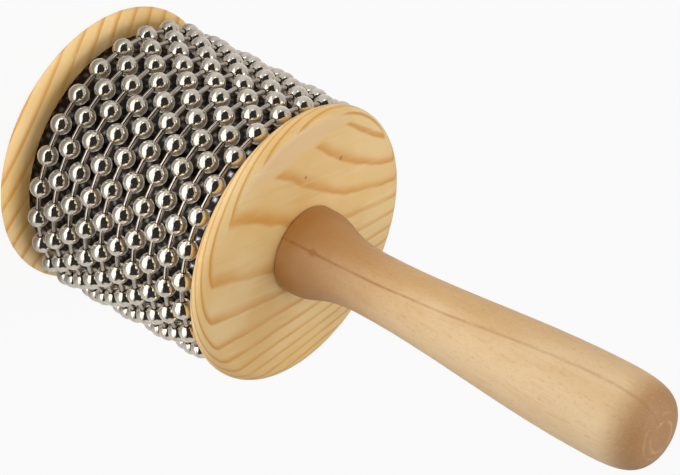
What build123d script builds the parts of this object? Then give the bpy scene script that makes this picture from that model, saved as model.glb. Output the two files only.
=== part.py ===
from build123d import *
from math import cos, pi, sin
import os

# Hand cabasa standing on its back disc, with its axis along Z and its handle up.
# All sizes are in millimetres.

# Wooden discs
disc_diameter = 80.0
disc_thickness = 6.4
disc_edge_radius = 3.1

# Ball chains: closed loops of hollow beads joined by double-headed link pins
loop_count = 10
beads_per_loop = 25
bead_diameter = 5.8
bead_wall = 0.4
bead_hole_diameter = 1.85
pin_diameter = 1.35
pin_head_diameter = 2.3
pin_head_length = 1.0
pin_head_taper = 0.45
pin_head_chamfer = 0.2
pin_head_play = 0.18
loop_gap = 0.05
loop_clearance = 0.35
back_space = 3.75
front_space = 1.0

# Steel sleeve on its wooden core
sleeve_diameter = 67.5
sleeve_thickness = 0.5
seam_gap = 0.4
fit_clearance = 0.05

# Handle, with heights measured from the front disc
handle_length = 121.3
foot_diameter = 25.0
foot_edge_radius = 0.6
foot_height = 3.5
shoulder_diameter = 20.8
shoulder_height = 12.0
neck_diameter = 17.6
neck_height = 24.0
grip_diameter = 21.4
grip_height = 60.0
palm_diameter = 26.2
palm_height = 104.0
crown_diameter = 22.0
crown_height = 3.5
tenon_diameter = 14.0
tenon_depth = 40.0
tenon_chamfer = 1.0
glue_space = 1.0

# Countersunk screw through the back disc into the tenon
screw_diameter = 4.5
screw_head_diameter = 9.0
screw_head_height = 2.6
screw_length = 44.0
screw_point = 5.0
screw_recess = 0.3
screw_hole_clearance = 0.25
cross_width = 1.1
cross_length = 5.0
cross_depth = 1.6

# Heights of the faces along the axis
loop_pitch = bead_diameter + loop_gap
barrel_length = back_space + bead_diameter + (loop_count - 1) * loop_pitch + front_space
barrel_bottom = disc_thickness
barrel_top = barrel_bottom + barrel_length
foot_bottom = barrel_top + disc_thickness
first_loop_height = barrel_bottom + back_space + bead_diameter / 2
tenon_bottom = barrel_top - tenon_depth

# Loop layout: a pin lies on the line between the facing holes of two beads
sleeve_radius = sleeve_diameter / 2
core_radius = sleeve_radius - sleeve_thickness - fit_clearance
bead_radius = bead_diameter / 2
ring_radius = sleeve_radius + loop_clearance + bead_radius
half_step = pi / beads_per_loop
hole_offset = bead_radius - bead_wall / 2
pin_ring_radius = ring_radius * cos(half_step) + hole_offset * sin(half_step)
pin_span = 2 * (ring_radius * sin(half_step) - hole_offset * cos(half_step))


def turned(outline):
    """Solid of revolution from a closed outline drawn as radius and height."""
    return revolve(Plane.XZ * make_face(outline), Axis.Z)


def plain_disc(bottom):
    """Wooden disc with both rims rounded."""
    disc = Pos(Z=bottom + disc_thickness / 2) * Cylinder(disc_diameter / 2, disc_thickness)
    rims = disc.edges().filter_by(GeomType.CIRCLE)
    return fillet(rims, min(disc_edge_radius, 0.49 * disc_thickness))


def bored(piece, radius, bottom, top):
    """Cut a round hole along the axis, from one height to another."""
    return piece - Pos(Z=(bottom + top) / 2) * Cylinder(radius, top - bottom)


def screw_cone(clearance):
    """Cone under the screw's head, grown by a clearance."""
    head = Cone(
        screw_head_diameter / 2 + clearance,
        screw_diameter / 2 + clearance,
        screw_head_height,
    )
    return Pos(Z=screw_recess + screw_head_height / 2) * head


# Handle: foot, shoulder, neck, swelling grip and crowned end, turned in one piece with its tenon
foot_radius = foot_diameter / 2
tenon_radius = tenon_diameter / 2
handle_top = foot_bottom + handle_length
foot_curve = Spline(
    (foot_radius, foot_bottom + foot_height),
    (shoulder_diameter / 2, foot_bottom + shoulder_height),
    (neck_diameter / 2, foot_bottom + neck_height),
    tangents=((0, 1), (0, 1)),
)
grip_curve = Spline(
    (neck_diameter / 2, foot_bottom + neck_height),
    (grip_diameter / 2, foot_bottom + grip_height),
    (palm_diameter / 2, foot_bottom + palm_height),
    tangents=((0, 1), (0, 1)),
)
end_curve = Bezier(
    (palm_diameter / 2, foot_bottom + palm_height),
    (palm_diameter / 2, handle_top - crown_height),
    (crown_diameter / 2, handle_top),
    (0, handle_top),
)
handle_outline = [
    Line((0, handle_top), (0, tenon_bottom)),
    Polyline(
        (0, tenon_bottom),
        (tenon_radius - tenon_chamfer, tenon_bottom),
        (tenon_radius, tenon_bottom + tenon_chamfer),
        (tenon_radius, foot_bottom),
        (foot_radius - foot_edge_radius, foot_bottom),
        (foot_radius, foot_bottom + foot_edge_radius),
        (foot_radius, foot_bottom + foot_height),
    ),
    foot_curve,
    grip_curve,
    end_curve,
]
screw_tip = screw_recess + screw_length
handle = turned(handle_outline)
handle = bored(handle, screw_diameter / 2 + fit_clearance, tenon_bottom - 1, screw_tip + 1)

# Discs: the front one is bored for the tenon, the back one countersunk for the screw
tenon_bore = tenon_radius + fit_clearance
screw_bore = screw_diameter / 2 + screw_hole_clearance
front_disc = bored(plain_disc(barrel_top), tenon_bore, barrel_top - 1, foot_bottom + 1)
back_disc = bored(plain_disc(0), screw_bore, -1, barrel_bottom + 1) - screw_cone(fit_clearance)
back_disc = bored(back_disc, screw_head_diameter / 2 + fit_clearance, -1, screw_recess)

# Core drum with a blind bore for the tenon
core = Pos(Z=barrel_bottom + barrel_length / 2) * Cylinder(core_radius, barrel_length)
core = bored(core, tenon_bore, tenon_bottom - glue_space, barrel_top + 1)
core = bored(core, screw_bore, barrel_bottom - 1, tenon_bottom)

# Sleeve: sheet rolled round the core, its two ends meeting in an open seam
sleeve = Pos(Z=barrel_bottom + barrel_length / 2) * Cylinder(sleeve_radius, barrel_length)
sleeve = bored(sleeve, sleeve_radius - sleeve_thickness, barrel_bottom - 1, barrel_top + 1)
seam = Box(seam_gap, sleeve_radius, barrel_length)
sleeve = sleeve - Pos(0, -sleeve_radius, barrel_bottom + barrel_length / 2) * seam

# End screw with a cross recess in its head
shank_length = screw_length - screw_head_height - screw_point
shank_bottom = screw_recess + screw_head_height
end_screw = screw_cone(0)
end_screw += Pos(Z=shank_bottom + shank_length / 2) * Cylinder(screw_diameter / 2, shank_length)
end_screw += Pos(Z=screw_tip - screw_point / 2) * Cone(screw_diameter / 2, 0, screw_point)
cross = Box(cross_length, cross_width, cross_depth) + Box(cross_width, cross_length, cross_depth)
end_screw -= Pos(Z=screw_recess + cross_depth / 2) * cross

# One hollow bead, drilled along the chain
bead = Sphere(bead_radius) - Sphere(bead_radius - bead_wall)
bead -= Rot(X=90) * Cylinder(bead_hole_diameter / 2, bead_diameter)

# One link pin, whose two heads are caught inside neighbouring beads
pin_radius = pin_diameter / 2
head_radius = pin_head_diameter / 2
head_start = pin_span / 2 + bead_wall / 2 + pin_head_play
head_end = head_start + pin_head_length
half_pin = [
    (pin_radius, head_start),
    (head_radius, head_start + pin_head_taper),
    (head_radius, head_end - pin_head_chamfer),
    (head_radius - pin_head_chamfer, head_end),
    (0, head_end),
]
other_half = [(radius, -height) for radius, height in reversed(half_pin)]
pin = Rot(X=90) * turned(Polyline(*other_half, *half_pin, close=True))


def ring_of(piece, radius, height, turn):
    """Copies of a piece set round the axis, one for each bead of a loop."""
    spots = PolarLocations(radius, beads_per_loop, turn)
    return Compound(children=[Pos(Z=height) * spot * piece for spot in spots])


nodes = {
    "handle": handle,
    "front_disc": front_disc,
    "back_disc": back_disc,
    "core": core,
    "sleeve": sleeve,
    "end_screw": end_screw,
}
half_turn = 180 / beads_per_loop
for number in range(loop_count):
    height = first_loop_height + number * loop_pitch
    turn = number % 2 * half_turn
    nodes[f"loop_{number + 1:02d}_beads"] = ring_of(bead, ring_radius, height, turn)
    nodes[f"loop_{number + 1:02d}_pins"] = ring_of(pin, pin_ring_radius, height, turn + half_turn)

os.makedirs("parts", exist_ok=True)
for name, shape in nodes.items():
    export_step(shape, f"parts/{name}.step")
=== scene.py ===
from math import pi, radians

import bpy
from mathutils import Matrix, Vector


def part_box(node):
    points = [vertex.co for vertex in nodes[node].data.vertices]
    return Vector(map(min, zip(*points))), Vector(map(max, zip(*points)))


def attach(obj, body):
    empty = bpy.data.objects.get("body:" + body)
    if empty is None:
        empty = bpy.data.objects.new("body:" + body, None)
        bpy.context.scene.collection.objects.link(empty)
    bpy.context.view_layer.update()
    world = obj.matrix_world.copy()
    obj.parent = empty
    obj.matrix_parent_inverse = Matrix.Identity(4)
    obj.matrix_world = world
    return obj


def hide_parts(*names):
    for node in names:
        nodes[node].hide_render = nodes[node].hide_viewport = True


for spare in ("Cube", "Light", "Camera"):
    if spare in bpy.data.objects:
        bpy.data.objects.remove(bpy.data.objects[spare], do_unlink=True)

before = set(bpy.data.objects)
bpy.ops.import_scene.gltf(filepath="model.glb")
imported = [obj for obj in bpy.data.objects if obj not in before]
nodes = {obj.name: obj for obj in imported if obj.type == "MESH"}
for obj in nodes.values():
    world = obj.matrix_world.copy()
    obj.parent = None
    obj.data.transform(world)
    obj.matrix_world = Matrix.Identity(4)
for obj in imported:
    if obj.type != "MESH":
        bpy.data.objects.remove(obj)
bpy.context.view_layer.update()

# Sizes for the finishes, in millimetres, read from the frame
MM = 1000.0
disc_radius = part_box("front_disc")[1].x * MM
front_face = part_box("front_disc")[1].z * MM
sleeve_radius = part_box("sleeve")[1].x * MM
sleeve_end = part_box("sleeve")[1].z * MM


class Value:
    """One number in a node tree. Sums written with it become Math nodes."""

    def __init__(self, tree, socket):
        self.tree = tree
        self.socket = socket

    def math(self, operation, *others):
        return make(self.tree, "ShaderNodeMath", {"operation": operation}, dict(enumerate((self, *others))))

    def reflected(self, operation, other):
        return make(self.tree, "ShaderNodeMath", {"operation": operation}, {0: other, 1: self})

    def __add__(self, other):
        return self.math("ADD", other)

    def __radd__(self, other):
        return self.reflected("ADD", other)

    def __sub__(self, other):
        return self.math("SUBTRACT", other)

    def __rsub__(self, other):
        return self.reflected("SUBTRACT", other)

    def __mul__(self, other):
        return self.math("MULTIPLY", other)

    def __rmul__(self, other):
        return self.reflected("MULTIPLY", other)

    def __truediv__(self, other):
        return self.math("DIVIDE", other)

    def below(self, level):
        return self.math("MINIMUM", level)

    def size(self):
        return self.math("ABSOLUTE")

    def fraction(self):
        return self.math("FRACT")

    def root(self):
        return self.math("SQRT")

    def fade(self, start, end):
        """0 at start, 1 at end, smooth between; start may be the larger one."""
        low, high, first, last = (start, end, 0.0, 1.0) if start < end else (end, start, 1.0, 0.0)
        return make(self.tree, "ShaderNodeMapRange", {"interpolation_type": "SMOOTHSTEP"},
                    {"Value": self, "From Min": low, "From Max": high, "To Min": first, "To Max": last})


def make(tree, kind, settings=None, inputs=None, out=0):
    """Adds one node: its settings first, then its sockets. Gives the wanted output."""
    node = tree.nodes.new(kind)
    for name, setting in (settings or {}).items():
        setattr(node, name, setting)
    for name, value in (inputs or {}).items():
        if isinstance(value, Value):
            tree.links.new(value.socket, node.inputs[name])
        else:
            node.inputs[name].default_value = value
    return Value(tree, node.outputs[out]) if node.outputs else None


def blend(low, high, mask):
    """A colour from low, where the mask is 0, to high, where it is 1."""
    return make(mask.tree, "ShaderNodeMix", {"data_type": "RGBA"}, {0: mask, 6: low, 7: high}, out=2)


def srgb(red, green, blue):
    """A colour written as a screen shows it, 0 to 255."""
    return (*(((c / 255 + 0.055) / 1.055) ** 2.4 for c in (red, green, blue)), 1.0)


class Finish:
    """A material: its tree, its place in millimetres, and one Principled shader."""

    def __init__(self, name):
        self.material = bpy.data.materials.new(name)
        self.material.use_nodes = True
        self.tree = self.material.node_tree
        self.tree.nodes.clear()
        place = self.add("ShaderNodeTexCoord", out="Object")
        self.mm = self.add("ShaderNodeVectorMath", {"operation": "SCALE"}, {0: place, "Scale": MM})
        self.x, self.y, self.z = (self.add("ShaderNodeSeparateXYZ", inputs={0: self.mm}, out=i)
                                  for i in range(3))

    def add(self, kind, settings=None, inputs=None, out=0):
        return make(self.tree, kind, settings, inputs, out)

    def noise(self, scale, detail=2.0, roughness=0.5, stretch=(1, 1, 1), turn=0.0, offset=(0, 0, 0)):
        """Noise from 0 to 1. Scale is in turns for each millimetre; a small stretch draws it out."""
        spot = self.add("ShaderNodeMapping", {"vector_type": "TEXTURE"},
                        {"Vector": self.mm, "Rotation": (0, 0, radians(turn)), "Location": offset,
                         "Scale": tuple(1.0 / s for s in stretch)})
        return self.add("ShaderNodeTexNoise", inputs={"Vector": spot, "Scale": scale, "Detail": detail,
                                                      "Roughness": roughness})

    def from_axis(self):
        """Distance from the instrument's axis."""
        return (self.x * self.x + self.y * self.y).root()

    def near(self, x, y, reach):
        """1 at a point of the plan, 0 beyond its reach."""
        distance = ((self.x - x) * (self.x - x) + (self.y - y) * (self.y - y)).root()
        return distance.fade(reach, reach * 0.3)

    def bump(self, height, distance, strength):
        """Fine relief. Distance is in metres."""
        return self.add("ShaderNodeBump",
                        inputs={"Height": height, "Distance": distance, "Strength": strength})

    def close(self, **inputs):
        """Ends the material in a Principled shader with these sockets."""
        sockets = {name.replace("_", " "): value for name, value in inputs.items()}
        shader = self.add("ShaderNodeBsdfPrincipled", inputs=sockets)
        self.add("ShaderNodeOutputMaterial", inputs={"Surface": shader})
        return self.material


# Wood

def pine(name, rings, along, specks=(), sanded=None):
    """Flat-sawn pine under satin lacquer. rings(wood) counts the growth rings at a point; along is the
    direction of the fibres in the disc's plane, in degrees; specks are small dark spots, each an x, a y and
    a reach. sanded(wood) gives where the rings fade out and where the face is paler."""
    early, early_warm, late_line = srgb(231, 198, 139), srgb(224, 183, 115), srgb(210, 150, 67)
    fibre_brown, fibre_pale, pore_brown = srgb(198, 150, 90), srgb(241, 216, 172), srgb(158, 112, 64)
    sanded_pale, speck_brown = srgb(226, 191, 145), srgb(150, 104, 60)
    wood = Finish(name)
    wander = (wood.noise(0.045, offset=(7, 3, 1)) - 0.5) * 0.30 + (wood.noise(0.23) - 0.5) * 0.10
    year = (rings(wood) + wander).fraction()
    line = year.fade(0.46, 0.88) * year.fade(1.0, 0.88)
    rim = wood.from_axis().fade(disc_radius - 4.0, disc_radius - 1.0)
    patches = wood.noise(0.05, detail=1.0, offset=(31, 5, 9)).fade(0.25, 0.60)
    strength = patches * 0.45 + 0.55 + rim * 0.3
    late = line * (0.35 + line * 0.65) * strength
    fibres = wood.noise(0.60, detail=4.0, roughness=0.6, stretch=(0.07, 1, 1), turn=along)
    pores = wood.noise(2.8, stretch=(0.12, 1, 1), turn=along)
    cloud = wood.noise(0.04, offset=(3, 17, 4))
    base = blend(early, early_warm, cloud.fade(0.35, 0.68))
    if sanded:
        bare, pale = sanded(wood)
        late = late * (1.0 - bare)
        base = blend(base, sanded_pale, pale * 0.7)
    base = blend(base, late_line, late * 0.95)
    base = blend(base, fibre_brown, fibres.fade(0.56, 0.80) * 0.30)
    base = blend(base, fibre_pale, fibres.fade(0.44, 0.22) * 0.30)
    base = blend(base, pore_brown, pores.fade(0.66, 0.80) * 0.20)
    for x, y, reach in specks:
        base = blend(base, speck_brown, wood.near(x, y, reach) * 0.75)
    skin = wood.bump(late * 0.5 + fibres * 0.5 + pores * 0.25, distance=0.00005, strength=0.5)
    return wood.close(Base_Color=base, Roughness=0.42 + fibres * 0.12 - late * 0.06, Normal=skin,
                      Coat_Weight=0.08, Coat_Roughness=0.25)


def front_rings(wood):
    """Arched rings on the front disc, a cubic over its plan; on its rounded rim they run round."""
    u = wood.x / disc_radius
    v = wood.y / disc_radius
    plan = (3.58 - 4.31 * u - 1.58 * v + 0.64 * u * u + 3.35 * u * v + 2.13 * v * v
            - (0.64 * u * u * u + 1.47 * u * u * v + 1.79 * u * v * v + 1.28 * v * v * v))
    return plan - wood.x.fade(8.0, -12.0) * 0.27 + (front_face - wood.z) * 0.55


def front_sanded(wood):
    """The front disc's face beyond a straight line, where it was sanded past its rings."""
    side_x, side_y = 0.723, 0.691
    over = wood.x * side_x + wood.y * side_y
    face = wood.from_axis().fade(disc_radius - 1.2, disc_radius - 2.0)
    edge = wood.x.fade(35.6, 36.6)
    return (over.fade(29.2, 30.8) + edge).below(1.0) * face, over.fade(31.0, 31.5) * face


def back_rings(wood):
    """Slanting rings that cross the back disc and its rim in nearly straight lines."""
    return wood.z * 0.225 - wood.y * 0.140 + wood.x * wood.x * 0.0007


def handle_wood():
    """Turned hardwood: one thin growth line down its side, fine flecks, browner foot and end. Heights are
    above the front disc, in millimetres; bearings round the axis, in degrees."""
    line_bearing, line_twist, knot_height = 85.5, 30.0, 10.0
    inner_mark, outer_mark = 4.4, 6.6
    body, body_warm, body_pale = srgb(223, 190, 143), srgb(213, 174, 121), srgb(230, 204, 166)
    side_brown, foot_brown, end_brown = srgb(203, 156, 93), srgb(170, 112, 50), srgb(164, 116, 68)
    ray_pale, ray_brown, fleck_brown = srgb(230, 202, 158), srgb(166, 116, 66), srgb(176, 126, 72)
    turning_pale, line_brown = srgb(224, 186, 138), srgb(160, 100, 44)
    wood = Finish("handle_wood")
    height = wood.z - front_face
    bearing = wood.y.math("ARCTAN2", wood.x) * (180 / pi)
    drift = (wood.noise(0.10, stretch=(1, 1, 0.8)) - 0.5) * 2.2
    off_line = bearing - line_bearing + line_twist * height.fade(8.0, 112.0) + drift
    broken = 0.55 + wood.noise(0.45).fade(0.30, 0.62) * 0.45
    line = off_line.size().fade(3.4, 0.3) * broken * (1.0 - height.fade(15.0, 75.0) * 0.55)
    beside = off_line.fade(-1.0, -30.0) * off_line.fade(-95.0, -40.0)
    knot_side = off_line / 5.0
    knot_rise = height - knot_height
    knot = (knot_side * knot_side + knot_rise * knot_rise).root().fade(1.6, 0.3)
    fleck = wood.noise(1.2, detail=3.0, roughness=0.6, stretch=(1, 1, 0.12))
    ray = wood.noise(1.7, detail=3.0, roughness=0.65, stretch=(1, 1, 0.45), offset=(4, 8, 2))
    band = wood.noise(0.10, detail=3.0, roughness=0.55, stretch=(1, 1, 0.3), offset=(12, 1, 6))
    foot = height.fade(46.0, 2.0)
    end = height.fade(109.0, 119.5)
    inner_ring = (wood.from_axis() - inner_mark).size().fade(0.8, 0.1)
    outer_ring = (wood.from_axis() - outer_mark).size().fade(0.6, 0.1) * 0.6
    turning = (inner_ring + outer_ring) * wood.noise(0.3).fade(0.35, 0.6) * end
    base = blend(body, body_warm, band.fade(0.34, 0.68))
    base = blend(base, side_brown, beside * 0.60)
    base = blend(base, body_pale, height.fade(62.0, 104.0) * 0.28)
    base = blend(base, foot_brown, foot * (0.70 + 0.25 * band))
    base = blend(base, end_brown, end * 0.88)
    base = blend(base, ray_pale, ray.fade(0.50, 0.28) * (1.0 - foot * 0.8) * 0.16)
    base = blend(base, fleck_brown, fleck.fade(0.52, 0.76) * 0.22)
    base = blend(base, ray_brown, ray.fade(0.54, 0.74) * 0.30)
    base = blend(base, turning_pale, turning * 0.35)
    base = blend(base, line_brown, (line + knot).below(1.0) * 0.75)
    skin = wood.bump(fleck * 0.6 + ray * 0.5, distance=0.00005, strength=0.5)
    return wood.close(Base_Color=base, Roughness=0.46 + fleck * 0.12, Normal=skin,
                      Coat_Weight=0.05, Coat_Roughness=0.3)


def core_wood():
    """Raw turned wood inside the sleeve."""
    pale, ring_brown, grain_brown = srgb(206, 172, 124), srgb(172, 128, 80), srgb(140, 100, 62)
    wood = Finish("core_wood")
    rings = (wood.from_axis() * 0.45 + wood.noise(0.08) * 0.8).fraction()
    grain = wood.noise(0.8, detail=3.0, roughness=0.6, stretch=(1, 1, 0.08))
    base = blend(pale, ring_brown, rings.fade(0.45, 0.95) * 0.6)
    base = blend(base, grain_brown, grain.fade(0.58, 0.78) * 0.4)
    skin = wood.bump(grain, distance=0.0001, strength=0.6)
    return wood.close(Base_Color=base, Roughness=0.62 + grain * 0.2, Normal=skin)


# Metal

def bead_nickel():
    """Polished nickel plate with faint dents, smudges and hairline scratches."""
    clean, smudged = srgb(240, 230, 213), srgb(230, 219, 200)
    plate = Finish("bead_nickel")
    smudge = plate.noise(0.22, detail=3.0, roughness=0.6)
    hair = plate.noise(3.2, stretch=(1, 0.15, 1), turn=50.0)
    dents = plate.noise(0.75, detail=1.0, offset=(5, 2, 8))
    base = blend(clean, smudged, smudge.fade(0.40, 0.72))
    skin = plate.bump(dents + hair * 0.04, distance=0.00006, strength=1.0)
    return plate.close(Base_Color=base, Metallic=1.0, Roughness=0.08 + smudge.fade(0.45, 0.8) * 0.05,
                       Normal=skin, Sheen_Weight=0.7, Sheen_Roughness=0.40)


def pin_nickel():
    """Drawn nickel wire, a little duller than the beads."""
    bright, dull = srgb(216, 206, 196), srgb(190, 178, 166)
    wire = Finish("pin_nickel")
    drawn = wire.noise(0.6, detail=3.0, roughness=0.6)
    base = blend(bright, dull, drawn.fade(0.4, 0.7))
    skin = wire.bump(drawn, distance=0.00002, strength=0.4)
    return wire.close(Base_Color=base, Metallic=1.0, Roughness=0.10 + drawn * 0.10, Normal=skin)


def sleeve_steel():
    """Rolled sheet whose colour is painted light and shade: painted shade keeps it dark in the hollows of
    its embossing, and painted highlights make its crests paler and brightest by the front disc. The beads
    mirror it as bright steel, a painted reflection for the light that goes to and fro between the two."""
    # Painted shade: the sheet's dark colours, which stand in for the shade between the beads
    painted_shade_dark, painted_shade_brown = srgb(40, 35, 31), srgb(58, 52, 46)
    crest_highlight_grey, glint_white = srgb(120, 117, 114), srgb(238, 242, 250)
    reflected_hollow_light, reflected_crest_light = srgb(205, 198, 190), srgb(255, 250, 244)
    sheet = Finish("sleeve_steel")
    brush = sheet.noise(1.4, detail=3.0, roughness=0.6, stretch=(1, 1, 0.1))
    cloud = sheet.noise(0.12)
    crest = sheet.from_axis().fade(sleeve_radius - 0.13, sleeve_radius)
    # Painted glints: the crests are brightest over the last few millimetres by the front disc
    glint_band = sheet.z.fade(sleeve_end - 7.1, sleeve_end - 3.1)
    # Painted reflection: only glossy rays, as in the beads' mirror, see the sheet in the bright colours
    in_reflections = sheet.add("ShaderNodeLightPath", out="Is Glossy Ray")
    base = blend(painted_shade_dark, painted_shade_brown, cloud)
    # Painted highlight: the crests of the embossing paler than the hollows
    base = blend(base, crest_highlight_grey, crest)
    base = blend(base, glint_white, crest * glint_band)
    base = blend(base, blend(reflected_hollow_light, reflected_crest_light, crest), in_reflections)
    skin = sheet.bump(brush, distance=0.00001, strength=0.3)
    return sheet.close(Base_Color=base, Metallic=1.0, Roughness=0.34 - crest * 0.14 + brush * 0.10,
                       Normal=skin)


def screw_steel():
    """Zinc plate with a soft brushed turn."""
    bright, dull = srgb(192, 194, 196), srgb(150, 150, 148)
    zinc = Finish("screw_steel")
    turned = ((zinc.from_axis() * 3.0).fraction() - 0.5).size()
    cloud = zinc.noise(0.5, detail=3.0)
    base = blend(bright, dull, cloud.fade(0.4, 0.7))
    skin = zinc.bump(turned, distance=0.00003, strength=0.4)
    return zinc.close(Base_Color=base, Metallic=1.0, Roughness=0.26 + cloud * 0.14, Normal=skin)


# The embossed sleeve

def activate(piece):
    bpy.ops.object.select_all(action="DESELECT")
    piece.select_set(True)
    bpy.context.view_layer.objects.active = piece


def pick(piece, test):
    """Selects the points for which test holds, in edit mode."""
    bpy.ops.mesh.select_mode(type="VERT")
    bpy.ops.mesh.select_all(action="DESELECT")
    bpy.ops.object.mode_set(mode="OBJECT")
    for point in piece.data.vertices:
        point.select = test(point.co)
    bpy.ops.object.mode_set(mode="EDIT")


def embossed_sleeve():
    """The rolled sheet with raised and sunk diamonds, open at its seam, in the CAD sleeve's place."""
    low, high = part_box("sleeve")
    outer = (high.x - low.x) / 2
    length = high.z - low.z
    depth, wall, seam = 0.00022, 0.00025, 0.0004
    rows, columns = 32, 108
    crease = radians(8)
    half_seam = seam / outer / 2
    turn = 2 * pi - 2 * half_seam
    step = length / rows
    bpy.ops.object.select_all(action="DESELECT")
    bpy.ops.mesh.primitive_grid_add(x_subdivisions=1, y_subdivisions=rows, size=length,
                                    location=(0, 0, (low.z + high.z) / 2), rotation=(pi / 2, 0, 0))
    piece = bpy.context.active_object
    piece.name = piece.data.name = "embossed_sleeve"
    bpy.ops.object.transform_apply(location=True, rotation=True, scale=True)

    # One upright edge of the grid is kept, moved to the seam and spun round the axis
    bpy.ops.object.mode_set(mode="EDIT")
    pick(piece, lambda at: at.x > 0)
    bpy.ops.mesh.delete(type="VERT")
    bpy.ops.mesh.select_all(action="SELECT")
    bpy.ops.transform.translate(value=(length / 2, -(outer - depth / 2), 0))
    bpy.ops.transform.rotate(value=-half_seam, orient_axis="Z", center_override=(0, 0, 0))
    bpy.ops.mesh.spin(steps=columns, angle=turn, center=(0, 0, 0), axis=(0, 0, 1))
    bpy.ops.mesh.select_all(action="SELECT")
    bpy.ops.mesh.normals_make_consistent(inside=False)
    bpy.ops.mesh.poke(offset=0.0)

    def corner_kind(at):
        """0 at a raised corner of the lattice, 2 at a sunk one, None in the middle of a cell."""
        angle = Vector((-at.y, at.x)).angle_signed(Vector((1, 0))) % (2 * pi)
        column = round((angle - half_seam) / turn * columns * 2)
        row = round((at.z - low.z) / step * 2)
        return (column + row) % 4 if column % 2 == 0 and row % 2 == 0 else None

    pick(piece, lambda at: corner_kind(at) == 0)
    bpy.ops.transform.shrink_fatten(value=depth / 2)
    pick(piece, lambda at: corner_kind(at) == 2)
    bpy.ops.transform.shrink_fatten(value=-depth / 2)
    bpy.ops.object.mode_set(mode="OBJECT")
    activate(piece)
    sheet = piece.modifiers.new("sheet", "SOLIDIFY")
    sheet.thickness = wall
    sheet.offset = -1.0
    bpy.ops.object.modifier_apply(modifier=sheet.name)
    bpy.ops.object.shade_smooth_by_angle(angle=crease)
    piece.data.materials.append(sleeve_steel())
    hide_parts("sleeve")
    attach(piece, "frame")


# Finishes on the CAD nodes

def give(material, *names):
    for name in names:
        for place in nodes[name].material_slots:
            place.material = material


front_specks = ((26.0, 2.3, 0.9), (18.0, 14.0, 0.7))
back_specks = ((-27.0, 33.5, 1.4),)
front_wood = pine("front_disc_wood", front_rings, along=-62, specks=front_specks, sanded=front_sanded)
back_wood = pine("back_disc_wood", back_rings, along=2, specks=back_specks)
give(front_wood, "front_disc")
give(back_wood, "back_disc")
give(handle_wood(), "handle")
give(core_wood(), "core")
give(screw_steel(), "end_screw")
give(bead_nickel(), *[name for name in nodes if name.endswith("_beads")])
give(pin_nickel(), *[name for name in nodes if name.endswith("_pins")])
embossed_sleeve()


# Camera, floor and light, in metres

# The camera's own directions
RIGHT = Vector((0.420968, -0.505807, 0.752958))
UP = Vector((0.903650, 0.161785, -0.396537))
BACK = Vector((0.078754, 0.847340, 0.525179))
CAMERA_SPOT = Vector((0.106597, 1.073249, 0.750065))
CAMERA_LENS = 251.78
CAMERA_SENSOR = 36.0

FLOOR_SIZE = 30.0
FLOOR_DROP = 0.0001
WHITE = (1, 1, 1, 1)
BLACK = (0, 0, 0, 1)
FLOOR_PAINT = (0.55, 0.55, 0.55, 1)
FLOOR_SHADE = (0.05, 0.05, 0.05, 1)
WALL_PAINT = (1.0, 0.985, 0.96, 1)

# Soft panels: name, place, aim, width, height and level
MIRRORED_PANELS = (
    ("table_light", (-0.11, 0.45, 0.004), (-0.11, 0.45, 1.0), 0.38, 0.76, 1.15),
    ("corner_light", (0.31, -0.17, 0.96), (0, 0, 0.04), 0.40, 0.40, 1.6),
    ("front_light", (-0.50, 0.86, 0.085), (0, 0, 0.04), 0.88, 0.15, 1.25),
    ("side_light", (0.50, 0.36, 0.05), (0, 0, 0.04), 0.18, 0.09, 1.4),
)
SPREAD_PANELS = (
    ("overhead_light", (0.34, -0.18, 0.98), (0, 0, 0.06), 1.00, 1.00, 1.58),
    ("fill_light", (0.13, 1.25, 0.90), (0, 0, 0.08), 1.40, 1.40, 2.15),
    ("under_light", (-0.06, 0.10, 0.0003), (-0.06, 0.10, 1.0), 0.60, 0.60, 1.0),
)


def place_camera():
    data = bpy.data.cameras.new("camera")
    data.sensor_width = CAMERA_SENSOR
    data.lens = CAMERA_LENS
    camera = bpy.data.objects.new("camera", data)
    bpy.context.collection.objects.link(camera)
    rows = [(RIGHT[i], UP[i], BACK[i], CAMERA_SPOT[i]) for i in range(3)]
    camera.matrix_world = Matrix(rows + [(0, 0, 0, 1)])
    bpy.context.scene.camera = camera


def lay_floor():
    """A pale light table that the camera sees as white, with the object's faint shadow on it. The metal sees
    it darker close to the object, where the object shades it."""
    own_glow, for_camera, for_metal = 0.20, 0.72, 0.05
    shade_ends, shade_begins = 0.085, 0.045
    bpy.ops.object.select_all(action="DESELECT")
    bpy.ops.mesh.primitive_plane_add(size=FLOOR_SIZE, location=(0, 0, -FLOOR_DROP))
    floor = bpy.context.active_object
    floor.name = "floor"
    material = bpy.data.materials.new("floor")
    material.use_nodes = True
    tree = material.node_tree
    tree.nodes.clear()
    camera, glossy, through = (make(tree, "ShaderNodeLightPath", out=ray)
                               for ray in ("Is Camera Ray", "Is Glossy Ray", "Is Transmission Ray"))
    paint = make(tree, "ShaderNodeBsdfDiffuse", inputs={"Color": FLOOR_PAINT})
    white = make(tree, "ShaderNodeEmission", inputs={"Color": WHITE, "Strength": 1.0})
    shaded = make(tree, "ShaderNodeBsdfDiffuse", inputs={"Color": FLOOR_SHADE})
    place = make(tree, "ShaderNodeTexCoord", out="Object")
    away = make(tree, "ShaderNodeVectorMath", {"operation": "LENGTH"}, {0: place}, out="Value")
    glow = (own_glow + camera * for_camera + glossy * for_metal + through * for_camera).below(1.0)
    close_by = glossy * away.fade(shade_ends, shade_begins) * 0.6
    lit = make(tree, "ShaderNodeMixShader", inputs={0: glow, 1: paint, 2: white})
    surface = make(tree, "ShaderNodeMixShader", inputs={0: close_by, 1: lit, 2: shaded})
    make(tree, "ShaderNodeOutputMaterial", inputs={"Surface": surface})
    floor.data.materials.append(material)


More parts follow.
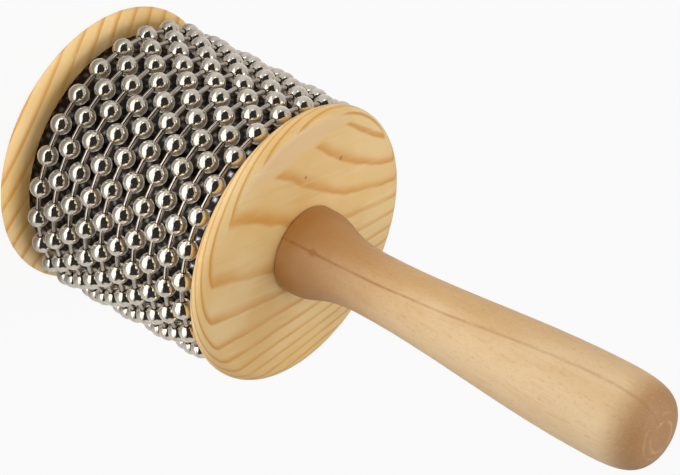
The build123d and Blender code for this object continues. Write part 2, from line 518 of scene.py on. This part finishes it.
def studio_world():
    """Pale walls all round and a dark room behind the camera, which gives the metal its black. Bounds are
    cosines of the angle to the camera's own directions."""
    world = bpy.data.worlds.new("studio")
    bpy.context.scene.world = world
    world.use_nodes = True
    tree = world.node_tree
    tree.nodes.clear()
    facing = make(tree, "ShaderNodeTexCoord", out="Generated")
    across, along, depth = (make(tree, "ShaderNodeVectorMath", {"operation": "DOT_PRODUCT"},
                                 {0: facing, 1: tuple(axis)}, out="Value") for axis in (RIGHT, UP, BACK))
    dark_room = (across.fade(-0.54, -0.46) * (across + along * 0.3).fade(0.80, 0.72)
                 * along.fade(0.82, 0.74) * along.fade(-0.97, -0.90) * depth.fade(0.0, 0.15))
    dim_side = across.fade(0.90, 0.97) * depth.fade(0.06, -0.08) * depth.fade(-0.34, -0.20)
    level = (0.58 - along * 0.05) * (1.0 - dark_room * 0.95) * (1.0 - dim_side * 0.8)
    wall = blend(BLACK, WALL_PAINT, level)
    camera = make(tree, "ShaderNodeLightPath", out="Is Camera Ray")
    seen = blend(wall, WHITE, camera)
    light = make(tree, "ShaderNodeBackground", inputs={"Color": seen, "Strength": 1.0})
    make(tree, "ShaderNodeOutputWorld", inputs={"Surface": light})


def soft_panel(name, spot, target, width, height, level):
    """A rectangular soft light of an even level, aimed at a point and hidden from the camera."""
    data = bpy.data.lights.new(name, "AREA")
    data.shape = "RECTANGLE"
    data.size, data.size_y = width, height
    data.energy = level * pi * width * height
    lamp = bpy.data.objects.new(name, data)
    lamp.location = spot
    lamp.rotation_euler = (Vector(target) - Vector(spot)).to_track_quat("-Z", "Y").to_euler()
    lamp.visible_camera = False
    bpy.context.collection.objects.link(lamp)
    return lamp


def hang_panels():
    """Some panels show only in the metal and the lacquer, the others only light the surfaces."""
    for panel in MIRRORED_PANELS:
        soft_panel(*panel).visible_diffuse = False
    for panel in SPREAD_PANELS:
        soft_panel(*panel).visible_glossy = False


bpy.context.scene.view_settings.view_transform = "Standard"
place_camera()
lay_floor()
studio_world()
hang_panels()
